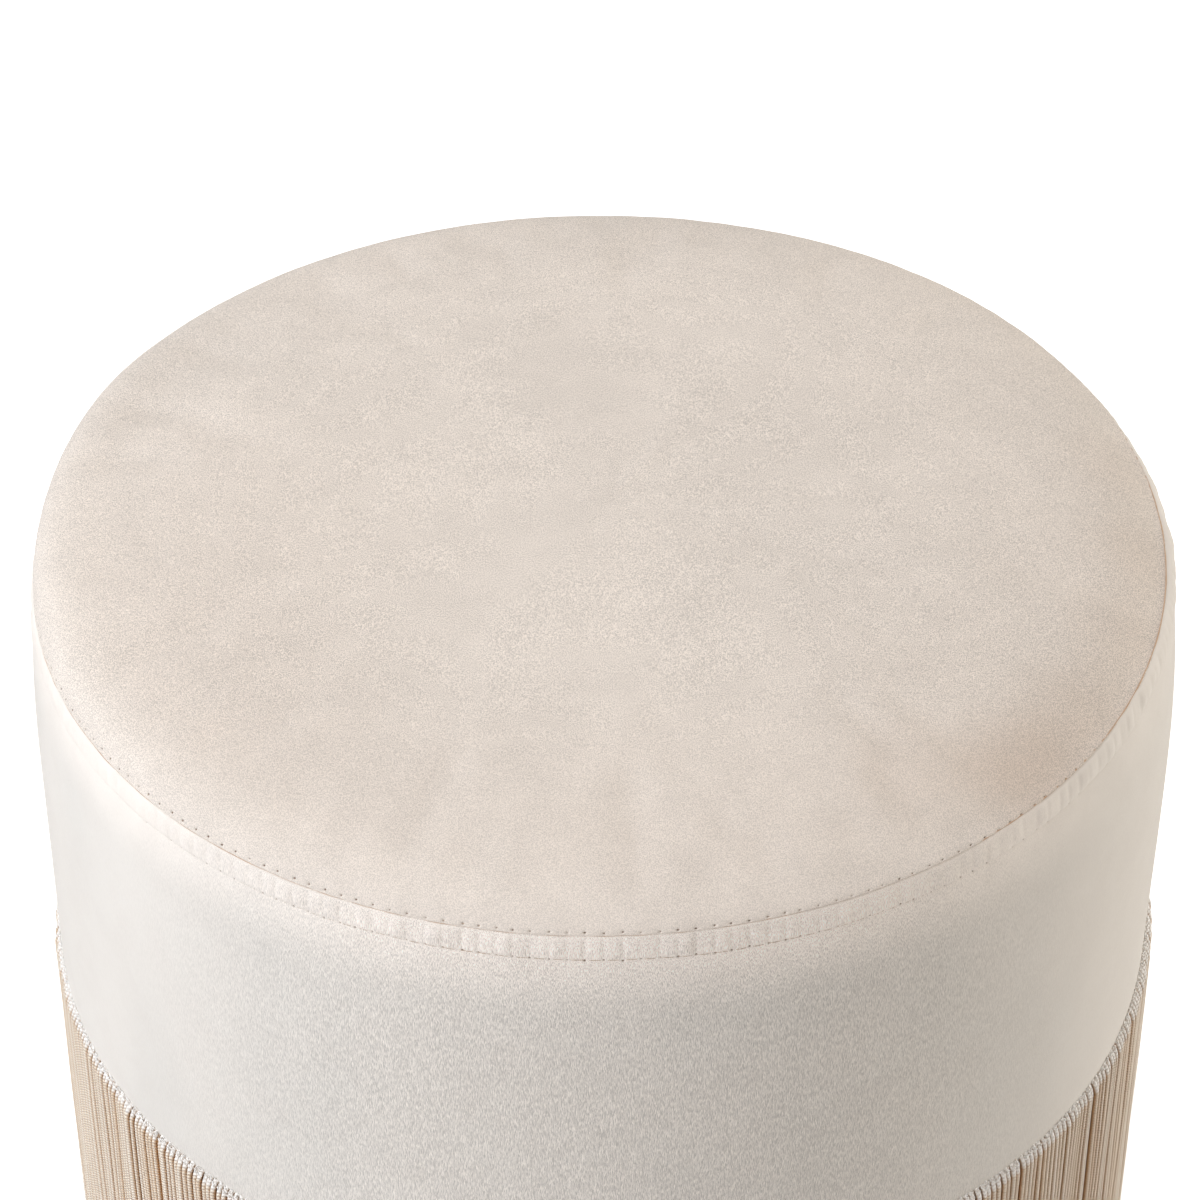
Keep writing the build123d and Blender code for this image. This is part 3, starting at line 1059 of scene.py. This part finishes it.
def make_heading(name, seed, hanging, inset):
    """The ragged line of small loops of yarn on the cords' shoulders, along the hem."""
    chance = np.random.default_rng(loop_seed)
    count = cord_count * loops_per_cord
    base = np.repeat(cord_angles(seed, 0.0), loops_per_cord)
    start, top_z = cord_start(base, inset)
    turn_end = loop_turn_side + (loop_turn_front - loop_turn_side) * np.sin(base) ** 2
    bend = np.radians(chance.uniform(loop_turn_start, turn_end))
    out = shoulder_drop * np.sin(bend)
    up = (hanging - start) * np.cos(bend)
    turn = np.radians(chance.uniform(-65, 65, count))
    rise = chance.uniform(0.85, 1.3, count) * cord_radius * np.cos(turn) / np.hypot(out, up)
    radius = start + (hanging - start) * np.sin(bend) + rise * out
    middle_z = top_z - shoulder_drop * (1 - np.cos(bend)) + rise * up
    angle = base + cord_radius * np.sin(turn) / radius
    middle = np.column_stack([radius * np.cos(angle), radius * np.sin(angle), middle_z])
    size = loop_radius * chance.uniform(0.7, 1.25, count)
    slant = np.column_stack([-np.sin(angle), np.cos(angle), np.zeros(count)])
    way = slant * chance.uniform(-0.6, 0.9, count)[:, None] - np.array([0, 0, 1.0])
    reach = np.array([-1.0, -0.6, 0.6, 1.0])
    paths = middle[:, None] + way[:, None] * (size[:, None] * reach)[..., None]
    sizes = size[:, None] * np.array([0.45, 0.95, 0.95, 0.45])
    shades = chance.beta(2.2, 0.6, count)
    return make_strands(
        name, paths, 4, sizes, sizes, heading_cord_highlight, rib_pitch, shades=shades
    )


# Hidden layers


def make_layer(name, node, finish, section, count):
    """A layer of padding or cloth: a section turned about the axis.

    The section has radius and height at each step, or a whole ring of points where it isn't round.
    """
    angle = around(count)
    rings = []
    for part in section:
        if len(part) > 2:
            rings.append(part)
        elif part[0] == 0:
            rings.append([(0.0, 0.0, part[1])])
        else:
            level = np.full(count, part[1])
            rings.append(np.column_stack([part[0] * np.cos(angle), part[0] * np.sin(angle), level]))
    points, faces = skin(rings, closed=len(rings[0]) > 1)
    return make_piece(name, points, faces, finish, node)


def soft_ring(inner, outer, low, high, round_by):
    """The section of a ring of padding, with rounded corners."""
    corners = [
        arc((outer - round_by, low + round_by), round_by, -90, 0, 5),
        arc((outer - round_by, high - round_by), round_by, 0, 90, 5),
        arc((inner + round_by, high - round_by), round_by, 90, 180, 5),
        arc((inner + round_by, low + round_by), round_by, 180, 270, 5),
    ]
    return [tuple(point) for point in np.vstack(corners)]


def under_seat(places, depth):
    """Rings of points that follow the seat at these places, this far below its velvet's face."""
    angle = around(layer_count)
    return [seat_line.place(along, angle, seat_body(along, angle) - depth) for along in places]


def make_seat_foam():
    """The thick disc of foam under the seat, stepped in below the seam."""
    low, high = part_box("seat_foam")
    edge = high.x
    round_by = 0.002
    section = [(0.0, low.z), (edge * 0.6, low.z), (edge - round_by, low.z), (edge, low.z + round_by)]
    section += [(edge - inset, seam_z - drop) for inset, drop in foam_step]
    section += under_seat(np.linspace(0.014, 0.17, 14), crown_z - high.z)
    section += [(0.0, high.z)]
    foam = make_layer("seat_foam_pad", "seat_foam", seat_foam_finish, section, layer_count)


def make_seat_wadding():
    """The fibre layer between the foam and the velvet, turned down round the foam's edge."""
    low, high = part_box("seat_wadding")
    edge = high.x
    depth = crown_z - high.z
    thick = crown_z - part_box("seat_foam")[1].z - depth - soft_gap
    inside = edge - thick
    round_by = 0.001
    section = [(0.0, high.z - thick)]
    section += under_seat(np.linspace(0.172, 0.012, 16), depth + thick)
    section += [(inside, seam_z - 0.004), (inside, low.z + round_by), (inside + round_by, low.z)]
    section += [(edge - round_by, low.z), (edge, low.z + round_by)]
    section += under_seat(np.linspace(0.0, 0.172, 22), depth)
    section += [(0.0, high.z)]
    wadding = make_layer(
        "seat_wadding_pad", "seat_wadding", wadding_finish, section, layer_count
    )


def make_wall_wraps():
    """The foam behind the side band and the felt behind the lining."""
    low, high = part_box("wall_foam")
    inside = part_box("wall_panel")[1].x + wrap_gap
    angle = around(wall_count)
    section = []
    for along in np.linspace(seam_z - low.z, seam_z - high.z, 24):
        lift = band_body(along, angle) - velvet - soft_gap
        section.append(band_line.place(along, angle, lift))
    section += [(inside, high.z), (inside, low.z)]
    wall = make_layer("wall_foam_wrap", "wall_foam", wall_foam_finish, section, wall_count)
    low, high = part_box("lower_wrap")
    section = soft_ring(inside, high.x, low.z, high.z, 0.001)
    felt = make_layer("lower_felt_wrap", "lower_wrap", felt_finish, section, wall_count)


def make_lining():
    """The plain cloth behind the fringe, pulled down and turned under the base."""
    low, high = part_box("lower_lining")
    thick = 0.001
    bend = 0.003
    flat_end = high.x - 0.004
    turn_under = 0.014  # its edge lies this far in from the dust cover's
    sag_share = 0.0015  # of its radius: how far it sags in between its edges
    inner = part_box("dust_cover")[1].x - turn_under
    corner = (high.x - bend, low.z + bend)
    heights = np.linspace(low.z + 0.02, high.z, 12)
    section = [(inner, low.z), (flat_end, low.z)]
    section += [tuple(point) for point in arc(corner, bend, -90, 0, 6)]
    section += [(high.x, height) for height in heights]
    section += [(high.x - thick, height) for height in heights[::-1]]
    section += [tuple(point) for point in arc(corner, bend - thick, 0, -90, 6)]
    section += [(flat_end, low.z + thick), (inner, low.z + thick)]
    lining = make_layer("lower_lining_cloth", "lower_lining", lining_cloth, section, 288)
    sag = swell(31, 6, 30)
    for vertex in lining.data.vertices:
        angle = math.atan2(vertex.co.y, vertex.co.x)
        share = math.sin(math.pi * (vertex.co.z - low.z) / (high.z - low.z))
        push = 1 - sag_share * max(0.0, share) * (0.5 + 0.5 * float(sag(angle, vertex.co.z / 0.05)))
        vertex.co.x *= push
        vertex.co.y *= push


def make_dust_cover():
    """The thin black cloth under the base, pulled up at its staples."""
    low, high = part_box("dust_cover")
    radius = high.x
    thick = 0.0006
    pull_height = 0.0006
    pull = swell(33, 10, 60)
    reach = np.concatenate([[0.02], np.linspace(0.04, radius - 0.004, 16), [radius]])
    angle = around(192)
    rings = [[(0.0, 0.0, low.z)]]
    for face, order in ((0.0, reach), (thick, reach[::-1])):
        for ring in order:
            slack = pull_height * (ring / radius) ** 3 * (0.5 + 0.5 * pull(angle, ring / 0.03))
            height = np.minimum(low.z + face + slack * 0.4, high.z)
            rings.append(np.column_stack([ring * np.cos(angle), ring * np.sin(angle), height]))
    rings.append([(0.0, 0.0, low.z + thick)])
    points, faces = skin(rings, closed=False)
    cover = make_piece("dust_cover_cloth", points, faces, dust_cloth, "dust_cover")


def make_tape():
    """The woven tape of the fringe, sewn between the band and the lining."""
    low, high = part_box("fringe_header")
    thick = 0.0015
    section = soft_ring(high.x - thick, high.x, low.z, high.z, 0.0005)
    return make_layer("fringe_tape", "fringe_header", tape_cloth, section, wall_count)


def dress_hard_pieces():
    """Give each wooden, metal and plastic node its finish."""
    finishes = {
        "base_board": fibreboard,
        "top_board": fibreboard,
        "wall_panel": hardboard,
        "post_screws": zinc_steel,
        "foot_screws": zinc_steel,
        "wall_staples": zinc_steel,
        "base_staples": zinc_steel,
    }
    groups = {"post_": softwood, "foot_": foot_plastic}
    for name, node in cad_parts.items():
        finish = finishes.get(name, groups.get(name[:5]))
        if finish:
            node.data.materials.clear()
            node.data.materials.append(finish)


# Studio

floor_size = 6.0
floor_glow = 0.75
sky_level = 0.255
sky_colour = (1.0, 0.85, 0.69, 1.0)
lamp_aim = (0, 0, 0.3)
lamps = {  # place, width, height, power and colour
    "left_box": ((-1.7, -0.1, 0.95), 1.5, 1.3, 10.2, (0.79, 0.885, 0.98)),
    "front_box": ((-1.25, -1.25, 1.3), 1.3, 1.3, 22.4, (0.92, 0.945, 1.0)),
    "right_box": ((1.7, 0.4, 0.4), 1.0, 0.7, 15.3, (1.0, 0.975, 0.92)),
    "top_box": ((-0.2, 0.3, 2.2), 1.8, 1.8, 19.0, (0.97, 0.98, 1.0)),
}
camera_lens = 120.62
camera_sensor = 36.0
camera_drop = 39.30  # degrees that it looks down
camera_place = (-0.0012, -1.0075, seam_z + 0.8008)


def make_floor():
    """A pale floor that reads white to the camera and keeps the pouf's shadow."""
    finish = new_finish("floor")
    grain = finish.noise(finish.place(), 40.0, 3.0)
    base = finish.mix(grain, tint(226, 226, 226), tint(230, 230, 230))
    matt = finish.node("BsdfDiffuse", values={"Color": base})
    glow = {"Color": (1, 1, 1, 1), "Strength": finish.seen() * floor_glow}
    both = finish.node("AddShader", values={0: matt, 1: finish.node("Emission", values=glow)})
    finish.node("OutputMaterial", values={"Surface": both})
    signs = ((-1, -1), (1, -1), (1, 1), (-1, 1))
    corners = [(floor_size * across, floor_size * along, 0) for across, along in signs]
    mesh = bpy.data.meshes.new("floor")
    mesh.from_pydata(corners, [], [(0, 1, 2, 3)])
    mesh.materials.append(finish.owner)
    floor = bpy.data.objects.new("floor", mesh)
    bpy.context.scene.collection.objects.link(floor)


def make_world():
    """Even light from all round, white where the camera sees it."""
    sky = Finish(bpy.data.worlds.new("studio"))
    lit = sky.node("Background", values={"Color": sky_colour, "Strength": sky_level})
    white = sky.node("Background", values={"Color": (1, 1, 1, 1), "Strength": 1.0})
    either = sky.node("MixShader", values={"Fac": sky.seen(), 1: lit, 2: white})
    sky.node("OutputWorld", values={"Surface": either})
    bpy.context.scene.world = sky.owner


def make_lamp(name, place, width, height, power, colour):
    """A soft box that points at the pouf."""
    lamp = bpy.data.lights.new(name, "AREA")
    lamp.shape = "RECTANGLE"
    lamp.size = width
    lamp.size_y = height
    lamp.energy = power
    lamp.color = colour
    holder = bpy.data.objects.new(name, lamp)
    holder.location = place
    holder.rotation_euler = (Vector(lamp_aim) - Vector(place)).to_track_quat("-Z", "Y").to_euler()
    bpy.context.scene.collection.objects.link(holder)


def make_camera():
    """The camera of the photograph, about 39 degrees above the level."""
    view = bpy.data.cameras.new("camera")
    view.sensor_width = camera_sensor
    view.lens = camera_lens
    holder = bpy.data.objects.new("camera", view)
    pitch = Matrix.Rotation(math.radians(90 - camera_drop), 4, "X")
    holder.matrix_world = Matrix.Translation(camera_place) @ pitch
    bpy.context.scene.collection.objects.link(holder)
    bpy.context.scene.camera = holder


seat = make_seat()
band = make_band()
make_stitches("upper_stitches", seat_line, seat_lift, upper_row, sunk=0.00022, covered=0.0)
lower_stitches = make_stitches(
    "lower_stitches", band_line, band_lift, lower_row, sunk=0.0, covered=0.0005
)
seam = make_seam()
outer_cords = make_cords(
    "fringe_outer", outer_seed, outer_hang, 0.0, outer_inset, knitted_cord, ["fringe_cords"]
)
inner_cords = make_cords(
    "fringe_inner", inner_seed, inner_hang, cord_pitch / 2, inner_inset, inner_cord_bounce
)
heading = make_heading("fringe_heading", outer_seed, outer_hang, outer_inset)
make_seat_foam()
make_seat_wadding()
make_wall_wraps()
make_lining()
make_dust_cover()
tape = make_tape()
dress_hard_pieces()

make_floor()
make_world()
for name, setting in lamps.items():
    make_lamp(name, *setting)
make_camera()
bpy.context.scene.view_settings.view_transform = "Standard"
